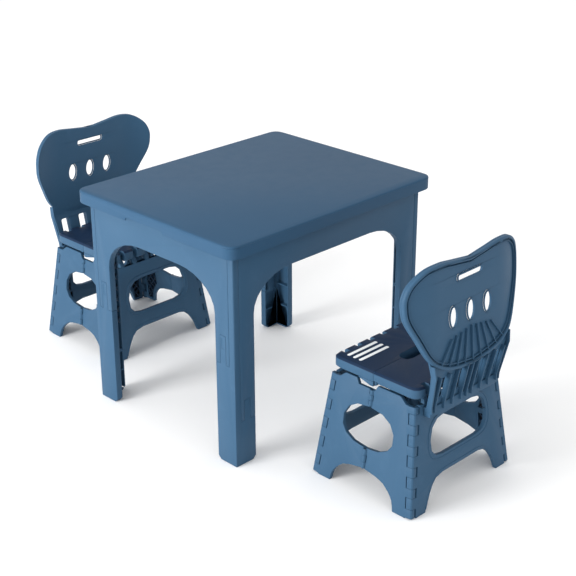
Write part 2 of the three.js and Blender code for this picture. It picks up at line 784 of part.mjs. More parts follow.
// One half of a side wall. sx picks the side and sy its front (+1) or rear (-1) half.
function sideHalf(sx, sy) {
  const wall = wallPlane(sx, 0);
  const sign = sx * sy;
  const edge = trapezoidEdge(corner_foot_y, wall, hinge_edge);
  const foot_in = edge(0) - foot_width + 6;
  const split = gap / 2;
  const level = (height) => height / wall.lean;
  const line_x = (v) => corner_foot_y * (1 - v / wall.reach);
  const crest_end = sy > 0 ? 41 : 13;
  const outline = rounded(
    [
      [edge(-3), -3],
      [edge(level(panel_top)), level(panel_top)],
      [line_x(panel_top) - 14, level(panel_top)],
      [line_x(panel_top) - 27, level(side_crest - 1)],
      [line_x(panel_top) - 31, level(side_crest)],
      [crest_end, level(side_crest)],
      [crest_end - 6, level(panel_top)],
      [split, level(panel_top)],
      [split, side_arch_rise + 3],
      [foot_in - 30, side_arch_rise - 6],
      [foot_in - 4, 22],
      [foot_in, -3],
    ],
    [0, 0, 0, 0, 0, 0, 0, 0, 0, 24, 14, 0],
    2,
  ).map((p) => [p[0] * sign, p[1]]);
  const opening = [];
  const middle = (side_opening_low + side_opening_high) / 2 - 4;
  const points = 14;
  for (let i = 0; i < points; i++) {
    const t = ((i + 0.5) / points) * Math.PI * 2;
    const rise = Math.sin(t) > 0 ? side_opening_high - middle : middle - side_opening_low;
    const flat = Math.sign(Math.sin(t)) * Math.pow(Math.abs(Math.sin(t)), 0.9);
    const wide = Math.sign(Math.cos(t)) * Math.pow(Math.abs(Math.cos(t)), 0.85);
    opening.push([side_opening_half * wide, middle + rise * flat]);
  }
  let body = prismXY(outline, 0, side_out);
  body = cut(body, prismXY(opening, -1, side_out + 1));
  const cells = sideHollows(edge, foot_in).map((cell) =>
    prismXY(cell.map((p) => [p[0] * sign, p[1]]), -1, side_out - skin_thick),
  );
  body = cut(body, ...cells).intersect(aboveFloor(wall));
  const line = apexLine(wall, sign * corner_foot_y, 0);
  const inward = inwardOf(line, -sign);
  const own = knuckle_radius;
  const finger = [
    [finger_root, 0],
    [finger_root, side_out],
    [-panel_out + 2.5, side_out],
    [-panel_out, side_out - 2.5],
    [-panel_out, -2],
    [-own * 0.6, -own * 0.9],
    [own * 0.72, -own * 0.9],
  ];
  const pieces = side_spans.map(([z0, z1]) =>
    knuckle(line, inward, axis_z, finger, z0 + finger_gap, z1 - finger_gap),
  );
  const middle_line = apexLine(wall, 0, side_out);
  const middle_inward = new THREE.Vector3(sign, 0, 0);
  const middle_out = middle_inward.clone().cross(middle_line.along).normalize().multiplyScalar(sign);
  const mine = sy < 0 ? [0, 2] : [1];
  const theirs = sy < 0 ? [1] : [0, 2];
  const barrel = [];
  for (let i = 0; i < 8; i++) {
    const t = ((i + 0.5) / 8) * Math.PI * 2;
    barrel.push([own * Math.cos(t), own * Math.sin(t)]);
  }
  const clear = own + notch_clearance;
  const room = [[-1, -clear], [clear, -clear], [clear, clear], [-1, clear]];
  const rooms = [];
  for (const spans of [middle_low_spans, middle_high_spans]) {
    for (const i of mine) {
      const [z0, z1] = spans[i];
      pieces.push(knuckle(middle_line, middle_inward, middle_out, barrel, z0 + finger_gap, z1 - finger_gap));
    }
    for (const i of theirs) {
      const [z0, z1] = spans[i];
      rooms.push(knuckle(middle_line, middle_inward, middle_out, room, z0 - finger_gap, z1 + finger_gap));
    }
  }
  const relief = [[-1, -0.4], [0, -0.4], [fold_relief, 2.2], [fold_relief, 5], [-1, 5]];
  rooms.push(knuckle(middle_line, middle_inward, middle_out, relief, 40, panel_top + 8));
  body = union(cut(body, ...rooms), ...pieces);
  const loose = sx > 0 && sy > 0;
  const middle_sides = loose ? 8 : bore_sides;
  const middle_radius = boreRadius(pin_radius, loose ? loose_clearance : pin_clearance, middle_sides);
  const low_end = middle_low_spans[2][1] + 2;
  const holes = [
    bore(line, 5, panel_top, boreRadius(pin_radius, pin_clearance, bore_sides)),
    bore(middle_line, middle_low_spans[0][0] - 2, low_end, middle_radius, middle_sides),
    bore(middle_line, middle_high_spans[0][0] - 2, panel_top + 4, middle_radius, middle_sides),
  ];
  return toChair(wall, cut(body, ...holes).intersect(aboveFloor(wall)));
}

function sideHollows(edge, foot_in) {
  const top = panel_top - 4;
  const wide = side_opening_half;
  const upper = [
    [edge(top) - 8, top],
    [edge(165) - 8, 165],
    [wide + 1, 165],
    [wide - 12, 188],
    [wide - 34, 198],
    [12, 202],
    [12, top],
  ];
  const middle = [
    [edge(162) - 8, 162],
    [edge(109) - 8, 109],
    [wide - 4, 109],
    [wide + 3, 130],
    [wide + 4, 162],
  ];
  const lower = [
    [edge(100) - 8, 100],
    [edge(6) - 8, 6],
    [foot_in + 4, 6],
    [foot_in, 28],
    [foot_in - 22, 60],
    [foot_in - 22, 96],
  ];
  return [upper, middle, lower];
}

// The seat's knuckle places along X, from the rim inwards: even ones belong to the front half.
const seat_knuckle_end = seat_width / 2 - 4;
const seat_knuckle_bounds = [0, 10.5, 22.5, 34.5, 46.5, 58.5, 70.5].map((d) => seat_knuckle_end - d);

function seatHalf(sy) {
  const hx = seat_width / 2;
  const hy = seat_depth / 2;
  const e = seat_edge_round;
  const soft = rounded(
    [[-hx + e, -hy + e], [hx - e, -hy + e], [hx - e, hy - e], [-hx + e, hy - e]],
    (seat_corner_radius - e) * 1.4,
    3,
  );
  const shape = new THREE.Shape(soft.map((p) => new THREE.Vector2(p[0], p[1])));
  const blank = new THREE.ExtrudeGeometry(shape, {
    depth: seat_thick - 2 * e,
    bevelEnabled: true,
    bevelThickness: e,
    bevelSize: e,
    bevelSegments: 1,
  });
  blank.translate(0, 0, seat_under + e);
  const split = seat_split_gap / 2;
  const half_box =
    sy > 0
      ? box(-200, 200, split, 200, seat_under - 1, seat_height + 1)
      : box(-200, 200, -200, -split, seat_under - 1, seat_height + 1);
  let body = solidOf(blank).intersect(half_box);
  const cells = [];
  const inner = hx - seat_wall;
  const columns = 4;
  const pitch = (2 * inner + 3) / columns;
  const rows = [[22, edge_axis_y - seat_knuckle_radius - 5]];
  for (let i = 0; i < columns; i++) {
    const x0 = -inner + i * pitch;
    for (const [y0, y1] of rows) {
      cells.push(box(x0, x0 + pitch - 3, sy * y0, sy * y1, seat_under - 1, seat_height - seat_skin));
    }
  }
  body = cut(body, ...cells);
  const hole = rounded(
    [
      [-hand_hole_length / 2, -hand_hole_width / 2],
      [hand_hole_length / 2, -hand_hole_width / 2],
      [hand_hole_length / 2, hand_hole_width / 2],
      [-hand_hole_length / 2, hand_hole_width / 2],
    ],
    hand_hole_width * 0.6,
    2,
  );
  body = cut(body, prismXY(hole, seat_under - 10, seat_height + 1));
  const r = seat_knuckle_radius;
  const clear = r + seat_notch_clearance;
  const pieces = [];
  const rooms = [];
  const axis = (x) => new THREE.Vector3(x, 0, middle_axis_z);
  for (const sx of [-1, 1]) {
    for (let i = 0; i < 6; i++) {
      const near = seat_knuckle_bounds[i + 1];
      const far = seat_knuckle_bounds[i];
      const front = i % 2 === 0;
      if (front === sy > 0) {
        pieces.push(rod(axis(sx * (near + finger_gap)), axis(sx * (far - finger_gap)), r, 8));
      } else {
        const x0 = sx * (near - finger_gap);
        const x1 = sx * (far + finger_gap);
        rooms.push(box(x0, x1, -sy, sy * clear, seat_under - 2, middle_axis_z + clear));
      }
    }
  }
  if (sy < 0) {
    for (const sx of [-1, 1]) {
      rooms.push(sideLug(sx, -1, notch_clearance));
    }
  }
  body = cut(body, ...rooms);
  if (sy > 0) {
    for (const sx of [-1, 1]) pieces.push(sideLug(sx, 1, 0));
  }
  body = union(body, ...pieces);
  const sides = sy < 0 ? 8 : bore_sides;
  const radius = boreRadius(pin_radius, sy < 0 ? loose_clearance : pin_clearance, sides);
  const holes = [];
  for (const sx of [-1, 1]) {
    holes.push(rod(axis(sx * (seat_knuckle_bounds[6] - 8)), axis(sx * (hx - 4.5)), radius, sides));
  }
  const room_half = lug_width / 2 + gap;
  for (let i = 0; i < lug_count; i++) {
    const x = (i - (lug_count - 1) / 2) * lug_pitch;
    const a = sy * (edge_axis_y - r - notch_clearance);
    const b = sy * (edge_axis_y + 2);
    const rim = sy * (hy + 1);
    const z = edge_axis_z + r + notch_clearance;
    holes.push(box(x - room_half, x + room_half, a, rim, seat_under - 1, z));
    holes.push(box(x - room_half, x + room_half, b, rim, seat_under - 1, seat_height + 1));
  }
  const y = sy * edge_axis_y;
  const end_x = ((lug_count - 1) / 2) * lug_pitch + 20;
  holes.push(
    rod(
      new THREE.Vector3(-end_x, y, edge_axis_z),
      new THREE.Vector3(end_x, y, edge_axis_z),
      boreRadius(pin_radius, pin_clearance, bore_sides),
      bore_sides,
    ),
  );
  return cut(body, ...holes);
}

// The deeper ear of the front half's side rim, or the room for it in the rear half.
function sideLug(sx, sy, extra) {
  const hx = seat_width / 2;
  const drop = seat_knuckle_radius + extra;
  const z = middle_axis_z;
  const near = sy > 0 ? seat_split_gap / 2 : -1;
  const outline =
    sy > 0
      ? [[near, z + 4], [near, z - drop], [8, z - drop], [38, z + 2], [38, z + 4]]
      : [[1, z - 1], [1, z + drop], [-8 - extra, z + drop], [-39 - extra * 2, z - 1]];
  const far = hx + (sy > 0 ? 0 : 1);
  return prismYZ(outline, sx > 0 ? hx - 4 : -far, sx > 0 ? far : 4 - hx);
}

// How far back the front face of the backrest stands at a place across it and a height: the neck
// leans back, the shell above it leans forward, and the sides curl forward.
function backFace(x, z) {
  const start = -(corner_foot_y * (1 - panel_top / apex_height) + panel_out + neck_clear);
  const neck = Math.min(Math.max(z - panel_top, 0), back_bend_height - panel_top);
  const shell = Math.max(z - back_bend_height, 0);
  const side = Math.max(0, Math.abs(x) - back_flat) / (back_half - back_flat);
  return start - neck * neck_lean + shell * back_lean + back_curve * side * side;
}

// A slab that follows the backrest's face between two depths behind it.
function backSlab(near, far) {
  const reach = back_half + 6;
  const columns = [-1, -0.9, -0.8, -0.7, -0.6, -0.5, 0.5, 0.6, 0.7, 0.8, 0.9, 1].map((t) => t * reach);
  const rows = [190, panel_top, 262, back_bend_height - 8, back_bend_height + 8, 545];
  const wide = columns.length;
  const points = [];
  for (const depth of [near, far]) {
    for (const z of rows) {
      for (const x of columns) points.push(x, backFace(x, z) - depth, z);
    }
  }
  const layer = wide * rows.length;
  const faces = [];
  const quad = (a, b, c, d) => faces.push(a, b, c, a, c, d);
  for (let j = 0; j + 1 < rows.length; j++) {
    for (let i = 0; i + 1 < wide; i++) {
      const a = j * wide + i;
      quad(layer + a, layer + a + 1, layer + a + wide + 1, layer + a + wide);
      quad(a, a + wide, a + wide + 1, a + 1);
    }
    const left = j * wide;
    const right = left + wide - 1;
    quad(left, layer + left, layer + left + wide, left + wide);
    quad(right, right + wide, layer + right + wide, layer + right);
  }
  for (let i = 0; i + 1 < wide; i++) {
    const top = (rows.length - 1) * wide + i;
    quad(i, i + 1, layer + i + 1, layer + i);
    quad(top, layer + top, layer + top + 1, top + 1);
  }
  const geometry = new THREE.BufferGeometry();
  geometry.setAttribute("position", new THREE.BufferAttribute(new Float32Array(points), 3));
  geometry.setIndex(faces);
  return solidOf(geometry);
}

// The backrest: a curved shell with a lip behind it, on a neck of upright fins.
function backrest() {
  const w = back_half;
  const outline = [];
  const curve = new THREE.CatmullRomCurve3(
    [
      [0, back_dip],
      [47, back_dip + 6],
      [90, back_top],
      [126, back_top - 5],
      [155, back_top - 25],
      [168, back_top - 48],
      [w, back_wide_height],
      [167, back_wide_height - 30],
      [149, back_wide_height - 68],
      [126, 335],
      [102, 314],
      [62, 298],
      [0, back_low],
    ].map((p) => new THREE.Vector3(p[0], p[1], 0)),
  );
  const right = curve.getPoints(22).map((p) => [p.x, p.y]);
  for (const p of right) outline.push(p);
  for (let i = right.length - 2; i > 0; i--) outline.push([-right[i][0], right[i][1]]);
  const inset = (points, amount) =>
    points.map((p) => [p[0] * (1 - amount / 170), 400 + (p[1] - 400) * (1 - amount / 112)]);
  const skin = backSlab(0, back_skin);
  const deep = backSlab(0, back_lip);
  const fins_slab = backSlab(0, fin_depth);
  const slot_half = handle_slot_length / 2;
  const slot_high = handle_slot_low + handle_slot_width;
  const slot = rounded(
    [
      [-slot_half, handle_slot_low],
      [slot_half, handle_slot_low],
      [slot_half, slot_high],
      [-slot_half, slot_high],
    ],
    10,
    3,
  );
  const holes = [prismXZ(slot, -300, 0)];
  for (const x of [-oval_place, 0, oval_place]) {
    const oval = [];
    for (let i = 0; i < 12; i++) {
      const t = (i / 12) * Math.PI * 2;
      oval.push([x + oval_half[0] * Math.cos(t), oval_height + oval_half[1] * Math.sin(t)]);
    }
    holes.push(prismXZ(oval, -300, 0));
  }
  const shell = cut(prismXZ(outline, -300, 0).intersect(skin), ...holes);
  const ring = cut(prismXZ(outline, -300, 0), prismXZ(inset(outline, 5), -301, 1)).intersect(deep);
  const rail_z = 222;
  const neck_outline = [
    [-neck_half, 212],
    [neck_half, 212],
    [neck_half + 4, 262],
    [neck_half + 9, 320],
    [60, 330],
    [-60, 330],
    [-neck_half - 9, 320],
    [-neck_half - 4, 262],
  ];
  const windows = neck_windows.map((x) => {
    const half = neck_window_width / 2;
    const low = panel_top + 11;
    const high = low + neck_window_rise;
    const corners = [[x - half, low], [x + half, low], [x + half, high], [x - half, high]];
    return prismXZ(rounded(corners, 6, 2), -300, 0);
  });
  const plate = cut(prismXZ(neck_outline, -300, 0).intersect(skin), ...windows);
  const fins = neck_fins.map((x) => {
    const rise = Math.abs(x) > 100 ? 312 : 292;
    return box(x - fin_width / 2, x + fin_width / 2, -300, 0, 212, rise).intersect(fins_slab);
  });
  const neck = [plate, ...fins];
  const wall = wallPlane(0, -1);
  const rail = prismXY(
    [[-neck_half, 203], [neck_half, 203], [neck_half, rail_z], [-neck_half, rail_z]],
    panel_out + gap,
    panel_out + neck_clear + 7,
  );
  const tongues = backTongues(0).map((points) => prismXY(points, 2, panel_out + gap + 1));
  return union(shell, ring, ...neck, toChair(wall, union(rail, ...tongues)));
}

const chair_pieces = [];

function chairPiece(name, solid, material) {
  chair_pieces.push({ name, solid: solid.simplify(merge_distance), material });
}

chairPiece("rear_panel", endPanel(-1, true));
chairPiece("front_panel", endPanel(1, false));
chairPiece("side_left_rear", sideHalf(-1, -1));
chairPiece("side_left_front", sideHalf(-1, 1));
chairPiece("side_right_rear", sideHalf(1, -1));
chairPiece("side_right_front", sideHalf(1, 1));
chairPiece("seat_rear", seatHalf(-1), dark_plastic);
chairPiece("seat_front", seatHalf(1), dark_plastic);
chairPiece("backrest", backrest());
for (const [side, sx] of [["left", -1], ["right", 1]]) {
  const wall = wallPlane(sx, 0);
  for (const [end, sy] of [["rear", -1], ["front", 1]]) {
    const line = apexLine(wall, sx * sy * corner_foot_y, 0);
    const pin = rod(line.at(7), line.at(panel_top - 1), pin_radius, pin_sides);
    chairPiece("pin_corner_" + side + "_" + end, toChair(wall, pin));
  }
  const line = apexLine(wall, 0, side_out);
  for (const [level, spans] of [["low", middle_low_spans], ["high", middle_high_spans]]) {
    const pin = rod(line.at(spans[0][0] + 0.5), line.at(spans[2][1] - 0.5), pin_radius, pin_sides);
    chairPiece("pin_side_" + side + "_" + level, toChair(wall, pin));
  }
  const near = new THREE.Vector3(sx * (seat_knuckle_bounds[6] + 1), 0, middle_axis_z);
  const far = new THREE.Vector3(sx * (seat_width / 2 - 5), 0, middle_axis_z);
  chairPiece("pin_seat_" + side, rod(near, far, pin_radius, pin_sides));
}
for (const [end, sy] of [["rear", -1], ["front", 1]]) {
  const reach = ((lug_count - 1) / 2) * lug_pitch + 18;
  const start = new THREE.Vector3(-reach, sy * edge_axis_y, edge_axis_z);
  const stop = new THREE.Vector3(reach, sy * edge_axis_y, edge_axis_z);
  chairPiece("pin_edge_" + end, rod(start, stop, pin_radius, pin_sides));
}

for (const [chair, x, side] of [["near", near_chair_x, -1], ["far", far_chair_x, 1]]) {
  const matrix = new THREE.Matrix4().makeRotationZ(side < 0 ? 0 : Math.PI);
  matrix.setPosition(x, side * chair_reach_y, 0);
  for (const piece of chair_pieces) {
    const mesh = new THREE.Mesh(moved(geometryOf(piece.solid), matrix), piece.material ?? smooth_plastic);
    mesh.name = chair + "_" + piece.name;
    group.add(mesh);
  }
}

export default group;
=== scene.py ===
# %% [markdown]
# This lesson dresses a folding table and two folding chairs for small children, all in moulded
# plastic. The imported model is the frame: it holds every solid in its true place, and each new
# piece rides on one of its moving bodies. Sizes shared with the solids are written once, below.

# %% Open the frame
import json
import math

import bmesh
import bpy
from mathutils import Matrix, Vector


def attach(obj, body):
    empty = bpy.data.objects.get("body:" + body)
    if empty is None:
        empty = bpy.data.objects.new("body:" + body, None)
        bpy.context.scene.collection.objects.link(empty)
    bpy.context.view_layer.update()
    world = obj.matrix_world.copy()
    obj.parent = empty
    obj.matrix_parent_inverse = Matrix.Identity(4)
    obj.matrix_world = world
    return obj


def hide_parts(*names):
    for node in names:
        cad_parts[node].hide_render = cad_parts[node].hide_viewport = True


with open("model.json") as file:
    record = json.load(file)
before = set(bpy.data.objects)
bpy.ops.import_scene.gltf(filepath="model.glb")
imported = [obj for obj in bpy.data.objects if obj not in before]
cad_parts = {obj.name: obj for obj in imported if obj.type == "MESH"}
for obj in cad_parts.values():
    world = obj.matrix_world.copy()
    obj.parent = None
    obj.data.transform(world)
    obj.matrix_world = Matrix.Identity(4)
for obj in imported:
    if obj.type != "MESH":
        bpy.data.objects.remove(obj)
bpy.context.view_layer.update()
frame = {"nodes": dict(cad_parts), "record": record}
nodes = frame["nodes"]
body_of_node = {n: b for b, ns in frame["record"]["behaviour"]["bodies"].items() for n in ns}
slot_of_node = {s["node"]: s["material_slot"] for s in frame["record"]["subparts"]}

# %% Sizes that the new pieces share with the solids, in metres
MM = 0.001
CHAIRS = {"near": (-22 * MM, -468.5 * MM, 0.0), "far": (-12 * MM, 468.5 * MM, math.pi)}
APEX_HEIGHT = 1156 * MM
APEX = Vector((0, 0, APEX_HEIGHT))
CORNER = (150 * MM, 123 * MM)
PANEL_OUT = 9.5 * MM
SIDE_OUT = 8 * MM
PANEL_TOP = 226 * MM
SKIN = 3 * MM
SEAT_TOP = 265 * MM
FRAME_DEPTH = 15 * MM

# %% [markdown]
# The camera stands at the corner between a long side and a short side of the table and looks down
# on it. A long lens keeps the legs nearly parallel, as a catalogue view does.

# %% Camera
CAMERA_PLACE = Vector((-1.8473, -1.9344, 1.4297))
CAMERA_TURN = math.radians(-45.01)
CAMERA_DROP = math.radians(23.79)
CAMERA_ROLL = math.radians(0.22)
camera_data = bpy.data.cameras.new("camera")
camera_data.sensor_width = 36
camera_data.lens = 81.44
camera = bpy.data.objects.new("camera", camera_data)
bpy.context.scene.collection.objects.link(camera)
sight = Vector((
    -math.sin(CAMERA_TURN) * math.cos(CAMERA_DROP),
    math.cos(CAMERA_TURN) * math.cos(CAMERA_DROP),
    -math.sin(CAMERA_DROP),
))
camera.rotation_mode = "QUATERNION"
camera.rotation_quaternion = (
    Matrix.Rotation(CAMERA_ROLL, 4, sight).to_quaternion() @ sight.to_track_quat("-Z", "Y")
)
camera.location = CAMERA_PLACE
bpy.context.scene.camera = camera
print("camera looks along", [round(v, 3) for v in sight])

# %% [markdown]
# The light is a bright pale room with a large soft lamp low on the left and a weak one overhead.
# Faces turned to the left come out lightest, the tops a little darker, and the right faces darkest.

# %% Floor, room and lamps
scene = bpy.context.scene
scene.view_settings.view_transform = "Standard"
world = bpy.data.worlds.new("room")
scene.world = world
world.use_nodes = True
ROOM_LIGHT = 1.0
world.node_tree.nodes["Background"].inputs["Color"].default_value = (1, 1, 1, 1)
world.node_tree.nodes["Background"].inputs["Strength"].default_value = ROOM_LIGHT


def lamp(name, place, target, size, power):
    """A square soft lamp that faces a point."""
    data = bpy.data.lights.new(name, "AREA")
    data.size = size
    data.energy = power
    made = bpy.data.objects.new(name, data)
    scene.collection.objects.link(made)
    made.location = place
    made.rotation_mode = "QUATERNION"
    made.rotation_quaternion = (Vector(target) - Vector(place)).to_track_quat("-Z", "Y")
    return made


lamp("key_left", (-3.4, 0.7, 1.1), (0, 0, 0.25), 1.5, 130)
lamp("fill_top", (0.2, -0.2, 3.4), (0, 0, 0.3), 2.6, 5)

floor_mesh = bpy.data.meshes.new("floor")
floor_bm = bmesh.new()
bmesh.ops.create_grid(floor_bm, x_segments=1, y_segments=1, size=30)
floor_bm.to_mesh(floor_mesh)
floor_bm.free()
floor = bpy.data.objects.new("floor", floor_mesh)
floor.location.z = -0.0005
scene.collection.objects.link(floor)
print("floor and", len(bpy.data.lights), "lamps")

# %% [markdown]
# Shader sums are written as Python sums. A Flow wraps the end of a link, and adding or multiplying
# it places a Math node. Every other node comes from one method, which sets a node's own settings
# first and then its sockets, by value or by link.


# %% Shader helpers
class Flow:
    """A number on a link in a material."""

    def __init__(self, finish, socket):
        self.finish = finish
        self.socket = socket

    def math(self, operation, a, b):
        made = self.finish.place("ShaderNodeMath", {"operation": operation}, {0: a, 1: b})
        return Flow(self.finish, made.outputs[0])

    def __add__(self, other):
        return self.math("ADD", self, other)

    def __radd__(self, other):
        return self.math("ADD", other, self)

    def __sub__(self, other):
        return self.math("SUBTRACT", self, other)

    def __rsub__(self, other):
        return self.math("SUBTRACT", other, self)

    def __mul__(self, other):
        return self.math("MULTIPLY", self, other)

    def __rmul__(self, other):
        return self.math("MULTIPLY", other, self)


class Finish:
    """A material that is built one node at a time."""

    def __init__(self, name):
        self.material = bpy.data.materials.new(name)
        self.material.use_nodes = True
        self.tree = self.material.node_tree
        self.shader = self.tree.nodes["Principled BSDF"]

    def place(self, kind, settings=None, sockets=None):
        node = self.tree.nodes.new(kind)
        for key, value in (settings or {}).items():
            setattr(node, key, value)
        for key, value in (sockets or {}).items():
            self.feed(node, key, value)
        return node

    def feed(self, node, key, value):
        socket = node.inputs[key]
        if isinstance(value, Flow):
            self.tree.links.new(value.socket, socket)
        elif isinstance(value, bpy.types.NodeSocket):
            self.tree.links.new(value, socket)
        else:
            socket.default_value = value

    def noise(self, scale, detail=3.0, rough=0.5):
        where = self.place("ShaderNodeTexCoord").outputs["Object"]
        node = self.place(
            "ShaderNodeTexNoise",
            None,
            {"Vector": where, "Scale": scale, "Detail": detail, "Roughness": rough},
        )
        return Flow(self, node.outputs["Fac"])

    def spread(self, flow, low, high, to_low, to_high):
        node = self.place(
            "ShaderNodeMapRange",
            {"clamp": True},
            {"Value": flow, 1: low, 2: high, 3: to_low, 4: to_high},
        )
        return Flow(self, node.outputs["Result"])

    def mix(self, amount, first, second):
        node = self.place("ShaderNodeMix", {"data_type": "RGBA"}, {0: amount, 6: first, 7: second})
        return node.outputs[2]

    def bump(self, height, strength, distance, below=None):
        sockets = {"Height": height, "Strength": strength, "Distance": distance}
        if below is not None:
            sockets["Normal"] = below
        return self.place("ShaderNodeBump", None, sockets).outputs["Normal"]


def colour(red, green, blue):
    """A screen colour from 0 to 255 as a linear one."""
    parts = [c / 255 for c in (red, green, blue)]
    linear = [c / 12.92 if c <= 0.04045 else ((c + 0.055) / 1.055) ** 2.4 for c in parts]
    return (*linear, 1.0)


# %% [markdown]
# Polypropylene from a steel mould is satin: it has a very fine spark-eroded grain, slow waves where
# the wall shrank as it cooled, slightly paler rubbed patches and a little dust in places. The grain
# and waves are bump, the rubbed patches change colour and roughness together.


# %% Moulded plastic
def moulded_plastic(name, base, pale, deep, roughness, grain=1500.0):
    finish = Finish(name)
    slow = finish.noise(5.0, 2.0)
    patches = finish.noise(34.0, 4.0, 0.6)
    rubbed = finish.spread(patches, 0.56, 0.78, 0.0, 0.55)
    shade = finish.spread(slow, 0.3, 0.7, 0.0, 0.6)
    tone = finish.mix(rubbed, finish.mix(shade, base, deep), pale)
    speckle = finish.noise(grain, 2.0, 0.6)
    finish.feed(finish.shader, "Base Color", tone)
    finish.feed(
        finish.shader,
        "Roughness",
        roughness + 0.07 * (speckle - 0.5) + 0.08 * (patches - 0.5) + rubbed * 0.05,
    )
    waves = finish.bump(finish.noise(9.0, 1.0), 0.25, 0.0012)
    finish.feed(finish.shader, "Normal", finish.bump(speckle, 0.22, 0.00012, waves))
    finish.shader.inputs["Specular IOR Level"].default_value = 0.14
    return finish.material


# Painted shade: the table top gets a darker copy of the walls' blue, so that the top reads darker
# than the faces lit from the left.
top_shaded_plastic = moulded_plastic(
    "satin_blue_top_painted_shade", colour(46, 79, 107), colour(50, 83, 111), colour(42, 75, 103), 0.55
)
panel_plastic = moulded_plastic(
    "satin_blue_panel", colour(54, 86, 113), colour(60, 92, 119), colour(49, 81, 108), 0.48
)
seat_plastic = moulded_plastic(
    "satin_navy_seat", colour(24, 43, 68), colour(30, 50, 76), colour(20, 38, 62), 0.5
)
# Painted shade: the ribs get a darker copy of the walls' blue, for ribs that sit inside the hollow
# walls and under the top.
rib_shade_plastic = moulded_plastic(
    "ribs_painted_shade_blue", colour(48, 68, 90), colour(62, 84, 108), colour(38, 56, 76), 0.34
)
# Painted shade: a near-black blue for the inward faces of the hollow walls and frames, which see
# little light.
hollow_shade_plastic = moulded_plastic(
    "painted_shade_hollows", colour(18, 26, 38), colour(26, 36, 50), colour(12, 18, 28), 0.4
)
pin_plastic = moulded_plastic(
    "dark_pin", colour(30, 42, 60), colour(44, 58, 78), colour(22, 32, 48), 0.36
)
white_print = moulded_plastic(
    "white_grip_bars", colour(238, 240, 240), colour(248, 248, 248), colour(226, 230, 232), 0.55
)
floor_finish = Finish("pale_floor")
floor_grain = floor_finish.noise(3.0)
floor_finish.feed(
    floor_finish.shader,
    "Base Color",
    floor_finish.mix(floor_grain, (0.97, 0.97, 0.97, 1), (0.99, 0.99, 0.99, 1)),
)
floor_finish.shader.inputs["Roughness"].default_value = 0.9
floor.data.materials.append(floor_finish.material)
FINISH_OF_SLOT = {
    "table_top": top_shaded_plastic,
    "panels": panel_plastic,
    "seat": panel_plastic,
    "pins": pin_plastic,
}
print(len(bpy.data.materials), "finishes")


# %% Mesh helpers
def settle(bm, name, body, materials, sharp=35.0):
    """Turns a bmesh into a finished piece that rides on a body."""
    bmesh.ops.remove_doubles(bm, verts=bm.verts, dist=1e-6)
    mesh = bpy.data.meshes.new(name)
    bm.to_mesh(mesh)
    bm.free()
    for polygon in mesh.polygons:
        polygon.use_smooth = True
    mesh.set_sharp_from_angle(angle=math.radians(sharp))
    for material in materials:
        mesh.materials.append(material)
    made = bpy.data.objects.new(name, mesh)
    scene.collection.objects.link(made)
    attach(made, body)
    return made


def block(bm, size, matrix):
    """A box of that size with its middle at the matrix's place."""
    scale = Matrix.Diagonal((*size, 1.0))
    return bmesh.ops.create_cube(bm, size=1.0, matrix=matrix @ scale)["verts"]


def soften(bm, width, segments, angle=35.0):
    """Rounds every edge that is sharper than the angle."""
    edges = [
        e for e in bm.edges
        if len(e.link_faces) == 2 and e.calc_face_angle(0.0) > math.radians(angle)
    ]
    bmesh.ops.bevel(
        bm,
        geom=edges,
        offset=width,
        offset_type="OFFSET",
        affect="EDGES",
        segments=segments,
        profile=0.5,
        material=-1,
        clamp_overlap=False,
    )


# %% [markdown]
# Most solids already have the right shape, but their edges are knife sharp, and real moulded edges
# never are. So each one is copied, its loose triangles are joined, flat areas are made whole again,
# and every sharp edge gets a small radius that catches the light.


# %% Solids with moulded edges
def moulded(node, width, segments=2, materials=None):
    bm = bmesh.new()
    bm.from_mesh(nodes[node].data)
    bmesh.ops.remove_doubles(bm, verts=bm.verts, dist=2e-5)
    bmesh.ops.dissolve_degenerate(bm, edges=bm.edges, dist=3e-5)
    bmesh.ops.dissolve_limit(
        bm,
        angle_limit=math.radians(0.6),
        use_dissolve_boundaries=False,
        verts=bm.verts,
        edges=bm.edges,
    )
    soften(bm, width, segments)
    bmesh.ops.recalc_face_normals(bm, faces=bm.faces)
    slot = slot_of_node[node]
    made = settle(
        bm, node + "_moulded", body_of_node[node], materials or [FINISH_OF_SLOT[slot]]
    )
    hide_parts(node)
    return made


EDGE = {"tabletop": 0.6 * MM, "frame": 0.7 * MM, "extension": 0.6 * MM, "chair": 0.45 * MM}
moulded_count = 0
for node in sorted(nodes):
    if "_pin_" in node or node.endswith("backrest") or "_seat_" in node:
        continue
    kind = "chair"
    if node == "tabletop":
        kind = "tabletop"
    elif "extension" in node:
        kind = "extension"
    elif "frame" in node:
        kind = "frame"
    moulded(node, EDGE[kind])
    moulded_count += 1
print(moulded_count, "solids got moulded edges")

# %% Pins keep their solids and get the pin finish
for node in nodes:
    if "_pin_" in node:
        nodes[node].data.materials.clear()
        nodes[node].data.materials.append(pin_plastic)

# %% [markdown]
# On the seat halves the side rim keeps the blue of the walls and the tread is given a darker navy.
# The tread is picked out by its place, the faces that look straight up at seat height, and given
# the second material, so there is no seam to model.


# %% Seat halves
def paint_tread(piece):
    """Gives the upward faces at seat height the darker finish."""
    piece.data.materials.append(seat_plastic)
    painted = 0
    for polygon in piece.data.polygons:
        if polygon.normal.z > 0.35 and polygon.center.z > SEAT_TOP - 4.5 * MM:
            polygon.material_index = 1
            painted += 1
    return painted


for node in sorted(nodes):
    if node.endswith("seat_rear") or node.endswith("seat_front"):
        print(node, "tread faces", paint_tread(moulded(node, EDGE["chair"])))


# %% [markdown]
# Each chair is drawn in its own frame, facing +Y, and each of its walls leans to one apex above the
# seat. The two matrices below take a point from a wall to its chair and from a chair to the room.


# %% Places on a chair
def chair_matrix(chair):
    x, y, turn = CHAIRS[chair]
    return Matrix.Translation((x, y, 0)) @ Matrix.Rotation(turn, 4, "Z")


